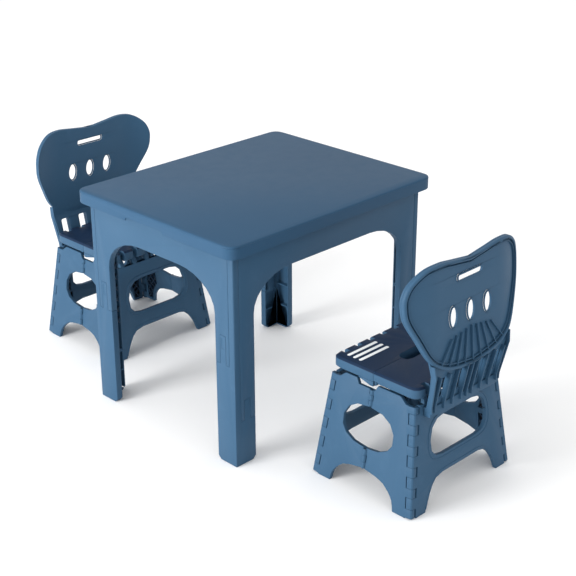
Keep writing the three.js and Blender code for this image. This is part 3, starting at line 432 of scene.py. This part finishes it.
def wall_matrix(dx, dy):
    """x runs across the wall, y up to the apex, z outwards."""
    foot = Vector((dx * CORNER[0], dy * CORNER[1], 0))
    up = (APEX - foot).normalized()
    across = Vector((0, 0, 1)).cross(Vector((dx, dy, 0))).normalized()
    out = across.cross(up).normalized()
    turn = Matrix((across, up, out)).transposed().to_4x4()
    return Matrix.Translation(foot) @ turn


# %% [markdown]
# A raised bead runs round each wall's opening and along its arch. It stiffens the edge and hides
# the cut line of the mould. A round wire half sunk in the face gives the right soft highlight, so
# it is a curve with a thickness, made a mesh before its place is applied.


# %% Beads
def bead(name, points, radius, closed, matrix, body, material):
    data = bpy.data.curves.new(name, "CURVE")
    data.dimensions = "3D"
    data.bevel_depth = radius
    data.bevel_resolution = 2
    data.use_fill_caps = not closed
    spline = data.splines.new("POLY")
    spline.points.add(len(points) - 1)
    for place, point in zip(spline.points, points):
        place.co = (*point, 1.0)
    spline.use_cyclic_u = closed
    holder = bpy.data.objects.new(name + "_curve", data)
    scene.collection.objects.link(holder)
    bpy.context.view_layer.update()
    graph = bpy.context.evaluated_depsgraph_get()
    mesh = bpy.data.meshes.new_from_object(holder.evaluated_get(graph))
    bpy.data.objects.remove(holder)
    mesh.transform(matrix)
    bm = bmesh.new()
    bm.from_mesh(mesh)
    bmesh.ops.remove_doubles(bm, verts=bm.verts, dist=1e-6)
    bmesh.ops.recalc_face_normals(bm, faces=bm.faces)
    return settle(bm, name, body, [material])


def round_corners(points, radius, steps=8):
    """An outline with each corner turned into a smooth arc."""
    out = []
    count = len(points)
    for i, corner in enumerate(points):
        before = Vector(points[i - 1]) - Vector(corner)
        after = Vector(points[(i + 1) % count]) - Vector(corner)
        reach = min(radius, before.length / 2.02, after.length / 2.02)
        p = Vector(corner) + before.normalized() * reach
        q = Vector(corner) + after.normalized() * reach
        for k in range(steps + 1):
            t = k / steps
            out.append((1 - t) ** 2 * p + 2 * t * (1 - t) * Vector(corner) + t * t * q)
    return out


def on_face(points, depth):
    return [(p[0], p[1], depth) for p in points]


BEAD = 1.5 * MM
for chair in CHAIRS:
    for end, dy in (("rear", -1), ("front", 1)):
        place = chair_matrix(chair) @ wall_matrix(0, dy)
        body = f"{chair}_{end}_panel"
        ring = round_corners(
            [(-99 * MM, 96 * MM), (99 * MM, 96 * MM), (90 * MM, 194 * MM), (-90 * MM, 194 * MM)],
            46 * MM,
        )
        bead(
            f"{chair}_{end}_opening_bead",
            on_face(ring, PANEL_OUT - 0.2 * MM), BEAD, True, place, body, panel_plastic,
        )
        foot = round_corners(
            [
                (-113 * MM, 5 * MM), (-101 * MM, 33 * MM), (-76 * MM, 71 * MM),
                (76 * MM, 71 * MM), (101 * MM, 33 * MM), (113 * MM, 5 * MM),
            ],
            30 * MM,
        )[9:-9]
        foot = [Vector((-113 * MM, 5 * MM)), *foot, Vector((113 * MM, 5 * MM))]
        bead(
            f"{chair}_{end}_arch_bead",
            on_face(foot, PANEL_OUT - 0.2 * MM), 1.1 * MM, False, place, body, panel_plastic,
        )
print("beads on", len(CHAIRS) * 2, "panels")


# %% [markdown]
# Inside, every hollow wall is braced by crossing ribs at a slant. Each rib is a thin upright plate
# between two points where its line meets the edge of its cell, so a line is clipped to the cell
# first and one block is stretched along what is left.


# %% Crossed ribs
def clip_to_cell(point, direction, cell):
    """Where a line enters and leaves a convex cell, as distances along it."""
    low, high = -1.0, 1.0
    count = len(cell)
    area = sum(
        cell[i][0] * cell[(i + 1) % count][1] - cell[(i + 1) % count][0] * cell[i][1]
        for i in range(count)
    )
    turn = 1 if area > 0 else -1
    for i in range(count):
        a = Vector(cell[i])
        edge = Vector(cell[(i + 1) % count]) - a
        inward = Vector((-edge.y, edge.x)) * turn
        speed = inward.dot(direction)
        start = inward.dot(point - a)
        if abs(speed) < 1e-12:
            if start < 0:
                return None
            continue
        t = -start / speed
        if speed > 0:
            low = max(low, t)
        else:
            high = min(high, t)
    return (low, high) if high - low > 5 * MM else None


def crossed_ribs(bm, cell, pitch, thickness, deep, shallow, matrix, slant=50.0):
    """Fills a convex cell with two families of slanting plates, from one depth to another."""
    middle = sum((Vector(p) for p in cell), Vector((0, 0))) / len(cell)
    reach = max((Vector(p) - middle).length for p in cell)
    made = 0
    for sign in (-1, 1):
        angle = math.radians(slant) * sign
        direction = Vector((math.cos(angle), math.sin(angle)))
        side = Vector((-direction.y, direction.x))
        count = int(reach / pitch) + 1
        for i in range(-count, count + 1):
            point = middle + side * (i * pitch)
            span = clip_to_cell(point, direction, cell)
            if span is None:
                continue
            centre = point + direction * (span[0] + span[1]) / 2
            length = span[1] - span[0]
            turn = Matrix.Rotation(angle, 4, "Z")
            spot = Matrix.Translation((centre.x, centre.y, (deep + shallow) / 2))
            block(bm, (length, thickness, shallow - deep), matrix @ spot @ turn)
            made += 1
    return made


EDGE_INSET = 6.8 * MM
CELL_INSET = 7 * MM


def cell_edge(half, reach, height):
    """How far from a wall's middle its hollow cells end at a height."""
    return half - EDGE_INSET - half * height / reach - CELL_INSET


REACH_END = math.hypot(CORNER[1], APEX.z)
REACH_SIDE = math.hypot(CORNER[0], APEX.z)
RIB = 1.6 * MM
RIB_PITCH = 14 * MM
END_RIB_FRONT = PANEL_OUT - SKIN + 0.5 * MM
SIDE_RIB_FRONT = SIDE_OUT - SKIN + 0.5 * MM


def end_edge(height):
    return cell_edge(CORNER[0], REACH_END, height)


def side_edge(height):
    return cell_edge(CORNER[1], REACH_SIDE, height)


for chair in CHAIRS:
    for end, dy in (("rear", -1), ("front", 1)):
        place = chair_matrix(chair) @ wall_matrix(0, dy)
        bm = bmesh.new()
        for s in (-1, 1):
            upper = [
                (s * end_edge(204 * MM), 204 * MM),
                (s * end_edge(99 * MM), 99 * MM),
                (s * 95.5 * MM, 99 * MM),
                (s * 76 * MM, 204 * MM),
            ]
            lower = [
                (s * end_edge(95 * MM), 95 * MM),
                (s * end_edge(6 * MM), 6 * MM),
                (s * 116 * MM, 6 * MM),
                (s * 87 * MM, 70 * MM),
                (s * 87 * MM, 95 * MM),
            ]
            for cell in (upper, lower):
                crossed_ribs(bm, cell, RIB_PITCH, RIB, 0.8 * MM, END_RIB_FRONT, place)
        settle(bm, f"{chair}_{end}_panel_ribs", f"{chair}_{end}_panel", [rib_shade_plastic])
    for side, sx in (("left", -1), ("right", 1)):
        place = chair_matrix(chair) @ wall_matrix(sx, 0)
        for end, sy in (("rear", -1), ("front", 1)):
            sign = sx * sy
            cells = [
                [(12 * MM, 222 * MM), (12 * MM, 203 * MM), (68 * MM, 166 * MM),
                 (side_edge(166 * MM), 166 * MM), (side_edge(222 * MM), 222 * MM)],
                [(66 * MM, 162 * MM), (64 * MM, 109 * MM),
                 (side_edge(109 * MM), 109 * MM), (side_edge(162 * MM), 162 * MM)],
                [(64 * MM, 96 * MM), (64 * MM, 58 * MM), (88 * MM, 6 * MM),
                 (side_edge(6 * MM), 6 * MM), (side_edge(99 * MM), 99 * MM)],
            ]
            bm = bmesh.new()
            for cell in cells:
                cell = [(sign * x, y) for x, y in cell]
                crossed_ribs(bm, cell, RIB_PITCH, RIB, 0.3 * MM, SIDE_RIB_FRONT, place)
            name = f"{chair}_side_{side}_{end}"
            settle(bm, name + "_ribs", name, [rib_shade_plastic])
print("ribs in", len(CHAIRS) * 6, "walls")

# %% [markdown]
# The hollow inside of a wall sees little light and its ribs stand out against it, so the faces
# that look inwards get a dark finish of their own. A face looks inwards when its direction, taken
# into its wall's frame, points away from the outside.


# %% Dark hollows
def darken_hollows(piece, place, from_depth):
    """Gives the faces that look inwards from behind the skin the dark painted shade."""
    piece.data.materials.append(hollow_shade_plastic)
    index = len(piece.data.materials) - 1
    back = place.inverted()
    turn = back.to_3x3()
    painted = 0
    for polygon in piece.data.polygons:
        depth = (back @ polygon.center).z
        facing = (turn @ polygon.normal).z
        if facing < -0.5 and depth > from_depth:
            polygon.material_index = index
            painted += 1
    return painted


darkened = 0
for chair in CHAIRS:
    for end, dy in (("rear", -1), ("front", 1)):
        piece = bpy.data.objects[f"{chair}_{end}_panel_moulded"]
        place = chair_matrix(chair) @ wall_matrix(0, dy)
        darkened += darken_hollows(piece, place, 2 * MM)
    for side, sx in (("left", -1), ("right", 1)):
        place = chair_matrix(chair) @ wall_matrix(sx, 0)
        for end in ("rear", "front"):
            piece = bpy.data.objects[f"{chair}_side_{side}_{end}_moulded"]
            darkened += darken_hollows(piece, place, 2 * MM)
print(darkened, "inward faces darkened on the walls")

# %% [markdown]
# The backrest is a thin curved shell with a deep rounded lip, on a neck with four windows. It is
# drawn flat, as plates with holes, because that is how its outline is known. Each plate is then
# sliced into narrow strips and every point is pushed back onto the curved face, which leans back
# up the neck, leans forward up the shell and curls forward at both sides.


# %% Backrest face and outline
NECK_CLEAR = 10 * MM
NECK_START = -(CORNER[1] * (1 - PANEL_TOP / APEX_HEIGHT) + PANEL_OUT + NECK_CLEAR)
NECK_RISE = 71 * MM
BEND_HEIGHT = PANEL_TOP + NECK_RISE
NECK_LEAN = 0.21
SHELL_LEAN = 0.092
FLAT_HALF = 87 * MM
CURL_WIDTH = 84 * MM
CURL_DEPTH = 24 * MM


def back_face(x, z):
    """How far back the backrest's front face stands at a place across it and a height."""
    neck = min(max(z - PANEL_TOP, 0), NECK_RISE)
    shell = max(z - BEND_HEIGHT, 0)
    side = max(0, abs(x) - FLAT_HALF) / CURL_WIDTH
    return NECK_START - NECK_LEAN * neck + SHELL_LEAN * shell + CURL_DEPTH * side * side


def smooth_line(points, steps):
    """A smooth line through points, by the Catmull-Rom rule."""
    out = []
    count = len(points)
    for i in range(count - 1):
        a, b, c, d = (Vector(points[min(max(i + k, 0), count - 1)]) for k in (-1, 0, 1, 2))
        for k in range(steps):
            t = k / steps
            out.append(
                0.5 * (2 * b + (c - a) * t + (2 * a - 5 * b + 4 * c - d) * t**2
                       + (3 * b - a - 3 * c + d) * t**3)
            )
    return [*out, Vector(points[-1])]


RIGHT_SIDE = [
    (0, 505), (47, 511), (90, 516), (126, 511), (155, 491), (168, 468), (171, 446),
    (167, 416), (149, 378), (126, 335), (102, 314), (62, 298), (0, 289),
]
right_line = smooth_line([(x * MM, z * MM) for x, z in RIGHT_SIDE], 6)
BACK_OUTLINE = right_line + [Vector((-p.x, p.y)) for p in right_line[-2:0:-1]]


def shrunk(points, amount):
    """The outline drawn in by about that amount on every side."""
    count = len(points)
    out = []
    for i, point in enumerate(points):
        along = (points[(i + 1) % count] - points[i - 1]).normalized()
        out.append(point + Vector((along.y, -along.x)) * amount)
    return out


def ellipse(x, z, wide, high, count=28):
    turns = [2 * math.pi * i / count for i in range(count)]
    return [Vector((x + wide * math.cos(t), z + high * math.sin(t))) for t in turns]


def long_hole(x0, x1, z0, z1, radius):
    return round_corners([(x0, z0), (x1, z0), (x1, z1), (x0, z1)], radius, 6)


# %% Plates
def flat_plate(bm, outlines, near, far, rounding, sheet=None):
    """Adds a plate between two depths, with holes and rounded edges, and bends it if asked."""
    data = bpy.data.curves.new("plate", "CURVE")
    data.dimensions = "2D"
    data.fill_mode = "BOTH"
    data.extrude = (far - near) / 2
    for outline in outlines:
        spline = data.splines.new("POLY")
        spline.points.add(len(outline) - 1)
        for place, point in zip(spline.points, outline):
            place.co = (point[0], point[1], 0.0, 1.0)
        spline.use_cyclic_u = True
    holder = bpy.data.objects.new("plate", data)
    scene.collection.objects.link(holder)
    bpy.context.view_layer.update()
    graph = bpy.context.evaluated_depsgraph_get()
    mesh = bpy.data.meshes.new_from_object(holder.evaluated_get(graph))
    bpy.data.objects.remove(holder)
    part = bmesh.new()
    part.from_mesh(mesh)
    bmesh.ops.remove_doubles(part, verts=part.verts, dist=1e-6)
    bmesh.ops.recalc_face_normals(part, faces=part.faces)
    soften(part, rounding, 3, 60.0)
    bmesh.ops.triangulate(part, faces=part.faces)
    if sheet:
        columns = [s * (87 + 7 * i) * MM for s in (-1, 1) for i in range(12)]
        cuts = [((x, 0, 0), (1, 0, 0)) for x in columns]
        cuts += [((0, z * MM, 0), (0, 1, 0)) for z in (226, 262, 289, 297, 305)]
        for spot, normal in cuts:
            everything = [*part.verts, *part.edges, *part.faces]
            bmesh.ops.bisect_plane(part, geom=everything, plane_co=spot, plane_no=normal)
        for vert in part.verts:
            x, z, depth = vert.co.x, vert.co.y, vert.co.z + (near + far) / 2
            vert.co = (x, sheet(x, z) - depth, z)
    else:
        bmesh.ops.translate(part, verts=part.verts, vec=(0, 0, (near + far) / 2))
    part.to_mesh(mesh)
    part.free()
    bm.from_mesh(mesh)


def strip(start, end, thick):
    """A thin straight bar's outline between two points."""
    a, b = Vector(start) * MM, Vector(end) * MM
    side = (b - a).normalized().orthogonal() * thick / 2
    return [a - side, b - side, b + side, a + side]


# %% [markdown]
# Behind the shell, ribs fan out from below the ovals to the lip and run on as the fins of the neck.
# The lip is a ring with well rounded edges, which reads as a tube from behind, and a thinner second
# ring stands inside it.

# %% Backrests
for chair in CHAIRS:
    bm = bmesh.new()
    holes = [ellipse(x * MM, 399 * MM, 12.5 * MM, 22.5 * MM) for x in (-52, 0, 52)]
    holes.append(long_hole(-38 * MM, 38 * MM, 464 * MM, 479 * MM, 7 * MM))
    flat_plate(bm, [BACK_OUTLINE, *holes], 0, 4.5 * MM, 1.1 * MM, back_face)
    flat_plate(
        bm, [BACK_OUTLINE, shrunk(BACK_OUTLINE, 6 * MM)], 3.5 * MM, 12 * MM, 2.3 * MM, back_face
    )
    inner = shrunk(BACK_OUTLINE, 10 * MM)
    flat_plate(bm, [inner, shrunk(inner, 1.8 * MM)], 4 * MM, 8.5 * MM, 0.5 * MM, back_face)
    for hole in holes:
        flat_plate(bm, [shrunk(hole, -2.6 * MM), hole], 4 * MM, 7 * MM, 0.6 * MM, back_face)
    half_neck = [(106, 212), (109, 262), (117, 312), (120, 328), (60, 312)]
    neck = half_neck + [(-x, z) for x, z in half_neck[::-1]]
    neck = [(x * MM, z * MM) for x, z in neck]
    windows = [
        long_hole((x - 11.5) * MM, (x + 11.5) * MM, 237 * MM, 285 * MM, 5 * MM)
        for x in (-82, -30, 30, 82)
    ]
    flat_plate(bm, [neck, *windows], 0.1 * MM, 4.4 * MM, 0.7 * MM, back_face)
    fins = [(x, x * 1.03, 293) for x in (-95.5, -68.5, -43.5, -16.5, 0, 16.5, 43.5, 68.5, 95.5)]
    fins += [(s * 104.5, s * 116.5, 321) for s in (-1, 1)]
    for low_x, high_x, rise in fins:
        bar = strip((low_x, 213), (high_x, rise), 3 * MM)
        flat_plate(bm, [bar], 4 * MM, 13.5 * MM, 0.6 * MM, back_face)
    for i in range(-4, 5):
        top = (i * 15, 368 - abs(i) * 2.5)
        bottom = (i * 24.5, 297 + 0.0016 * (i * 24.5) ** 2)
        flat_plate(bm, [strip(top, bottom, 2 * MM)], 4 * MM, 10 * MM, 0.5 * MM, back_face)
    for vert in bm.verts:
        vert.co = chair_matrix(chair) @ vert.co
    rail = bmesh.new()
    place = chair_matrix(chair) @ wall_matrix(0, -1)
    spot = Matrix.Translation((0, 212.5 * MM, 18.25 * MM))
    block(rail, (212 * MM, 19 * MM, 16.5 * MM), place @ spot)
    soften(rail, 1.2 * MM, 3)
    for x in (-84, -32, 32, 84):
        spot = Matrix.Translation((x * MM, 211 * MM, 6.5 * MM))
        block(rail, (18 * MM, 8 * MM, 9 * MM), place @ spot)
    holder = bpy.data.meshes.new("rail")
    rail.to_mesh(holder)
    rail.free()
    bm.from_mesh(holder)
    body = f"{chair}_rear_panel"
    made = settle(bm, f"{chair}_backrest_shell", body, [panel_plastic], 40.0)
    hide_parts(f"{chair}_backrest")
    print(chair, "backrest", len(made.data.polygons), "faces")

# %% [markdown]
# The front half of each seat carries a small printed patch that keeps trousers from sliding. Three
# equal plain rounded bars are the simplest pattern that does the job.

# %% Grip bars
for chair in CHAIRS:
    bm = bmesh.new()
    for i in range(3):
        y = (48.5 + i * 15.5) * MM
        bar = long_hole(-108 * MM, -22 * MM, y, y + 7.5 * MM, 3.7 * MM)
        flat_plate(bm, [bar], SEAT_TOP - 0.4 * MM, SEAT_TOP + 0.35 * MM, 0.2 * MM)
    for vert in bm.verts:
        vert.co = chair_matrix(chair) @ vert.co
    settle(bm, f"{chair}_grip_bars", f"{chair}_seat_front", [white_print])
print("grip bars on", len(CHAIRS), "seats")

# %% [markdown]
# The table's leg frames are hollow on the inside and braced in the same way as the chair walls. The
# cells below are the open parts of each frame between its edge walls, bosses and tongue rooms. The
# underside of the top gets wider crossed ribs that stay above the folded frames.

# %% Ribs in the table frames and under the top
TABLE_Y = 8.5 * MM


def frame_cells(inner, outer, boss, leg_low, top):
    cells = [
        [(3, 412), (boss - 16, 412), (boss - 16, top), (3, top)],
        [(boss + 16, 412), (inner, 412), (inner, top), (boss + 16, top)],
        [(inner, 364), (inner, 411), (inner - 48, 411)],
        [(inner + 3, leg_low), (outer, leg_low), (outer, 330), (inner + 3, 330)],
        [(inner + 3, 336), (outer, 336), (outer, top), (inner + 3, top)],
    ]
    return [[(s * x * MM, z * MM) for x, z in cell] for s in (-1, 1) for cell in cells]


FRAMES = {
    "long_frame_near": (0, (0, -225.75), (226, 262.5, 130, 155, 479)),
    "long_frame_far": (math.pi, (0, 225.75), (226, 262.5, 130, 155, 468.5)),
    "short_frame_left": (-math.pi / 2, (-281.5, 0), (170.25, 206.5, 95, 299, 483)),
    "short_frame_right": (math.pi / 2, (281.5, 0), (170.25, 206.5, 95, 299, 483)),
}
upright = Matrix.Rotation(math.pi / 2, 4, "X")
for name, (turn, (x, y), cell_sizes) in FRAMES.items():
    spot = Matrix.Translation((x * MM, y * MM + TABLE_Y, 0))
    place = spot @ Matrix.Rotation(turn, 4, "Z") @ upright
    bm = bmesh.new()
    for cell in frame_cells(*cell_sizes):
        crossed_ribs(bm, cell, 17 * MM, 1.8 * MM, -FRAME_DEPTH + 1 * MM, -3 * MM, place)
    settle(bm, name + "_ribs", name, [rib_shade_plastic])
    darken_hollows(bpy.data.objects[name + "_moulded"], place, -FRAME_DEPTH + 2 * MM)
bm = bmesh.new()
under = [(-258 * MM, -198 * MM), (258 * MM, -198 * MM), (258 * MM, 198 * MM), (-258 * MM, 198 * MM)]
crossed_ribs(
    bm, under, 42 * MM, 1.8 * MM, 489 * MM, 496.5 * MM, Matrix.Translation((0, TABLE_Y, 0)), 45.0
)
settle(bm, "tabletop_under_ribs", "tabletop", [rib_shade_plastic])
print("ribs in", len(FRAMES), "frames and under the top")
